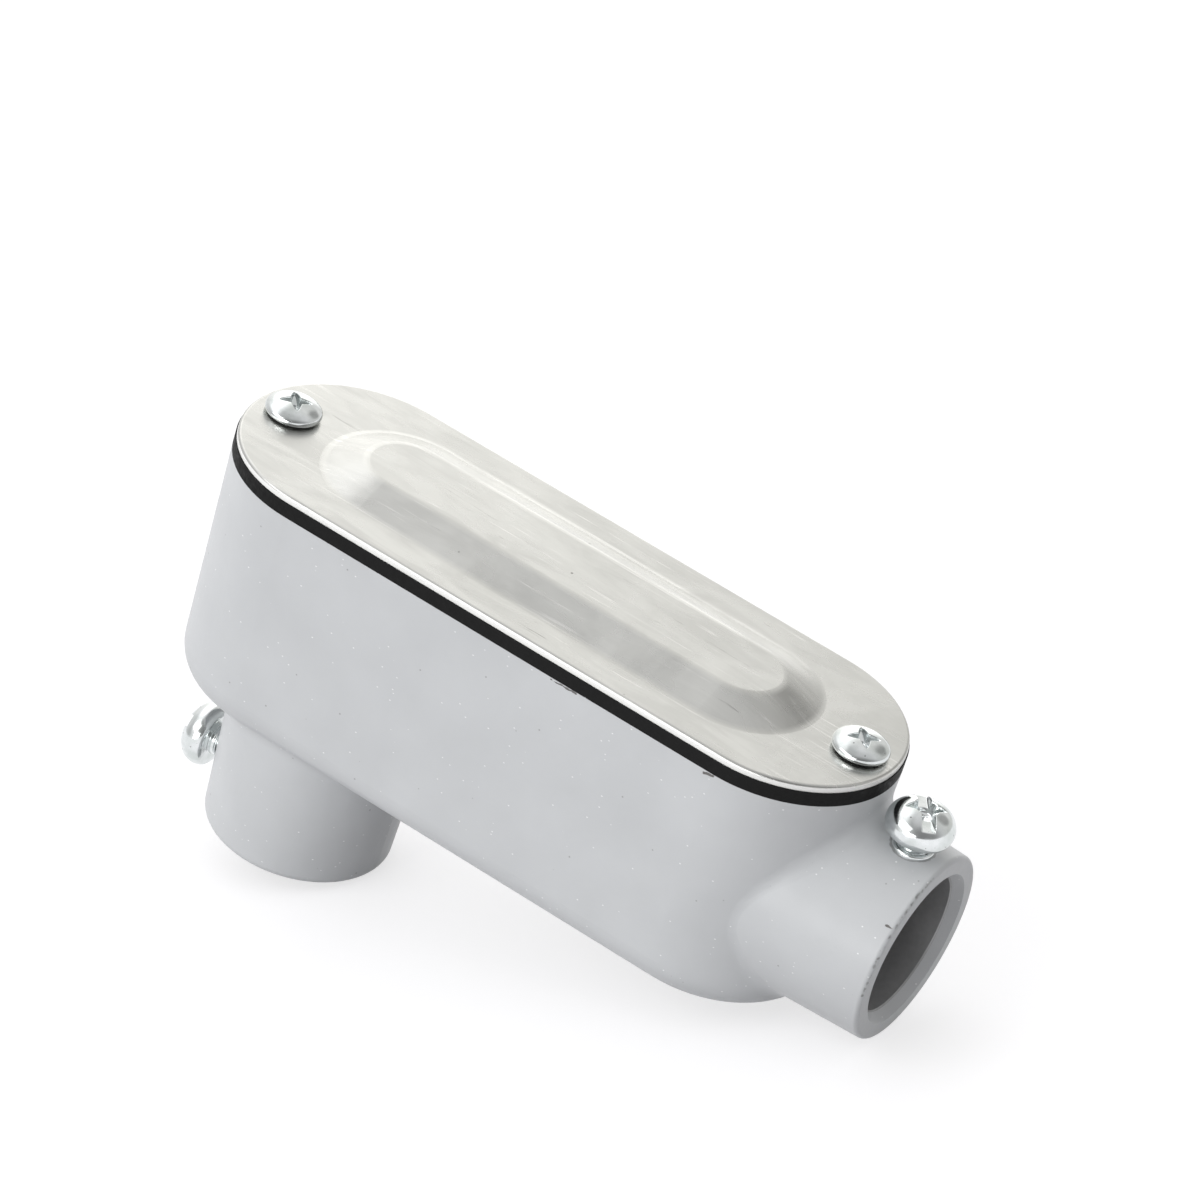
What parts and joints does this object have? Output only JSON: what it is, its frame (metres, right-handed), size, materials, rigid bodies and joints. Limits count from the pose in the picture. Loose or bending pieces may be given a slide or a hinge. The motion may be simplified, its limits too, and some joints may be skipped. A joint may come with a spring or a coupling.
{
  "type": "conduit body",
  "caption": "LB conduit body with set-screw hubs: a cast housing that turns conduit from its end to its back, under a screwed cover on a rubber gasket.",
  "frame": {"origin": "centre of the back hub's socket: on its axis, halfway along the straight wall that holds the conduit", "axes": "+Z out through the cover, square to it; +X out through the end hub, along the body's length; +Y by the right hand"},
  "size_m": [0.1039, 0.031, 0.0561],
  "materials": {
    "grey_enamel": "satin baked enamel over die-cast aluminium",
    "cover_aluminium": "bare stamped sheet with fine scratches",
    "gasket_rubber": "matte black",
    "screw_zinc": "bright zinc plate"
  },
  "bodies": {
    "housing": {"housing": "grey_enamel"},
    "cover": {"cover": "cover_aluminium", "gasket": "gasket_rubber"},
    "cover_screw_back": {"cover_screw_back": "screw_zinc"},
    "cover_screw_end": {"cover_screw_end": "screw_zinc"},
    "set_screw_back": {"set_screw_back": "screw_zinc"},
    "set_screw_end": {"set_screw_end": "screw_zinc"}
  },
  "joints": [
    {"name": "cover_lift", "type": "slide", "parent": "housing", "child": "cover", "axis": [0, 0, 1], "range_m": [0, 0.03]},
    {"name": "cover_screw_back_out", "type": "slide", "parent": "cover", "child": "cover_screw_back", "axis": [0, 0, 1], "range_m": [0, 0.009]},
    {"name": "cover_screw_end_out", "type": "slide", "parent": "cover", "child": "cover_screw_end", "axis": [0, 0, 1], "range_m": [0, 0.009]},
    {"name": "set_screw_end_out", "type": "slide", "parent": "housing", "child": "set_screw_end", "axis": [0, 0, 1], "range_m": [-0.001, 0.0033]},
    {"name": "set_screw_back_out", "type": "slide", "parent": "housing", "child": "set_screw_back", "axis": [-1, 0, 0], "range_m": [-0.0016, 0.0033]}
  ]
}
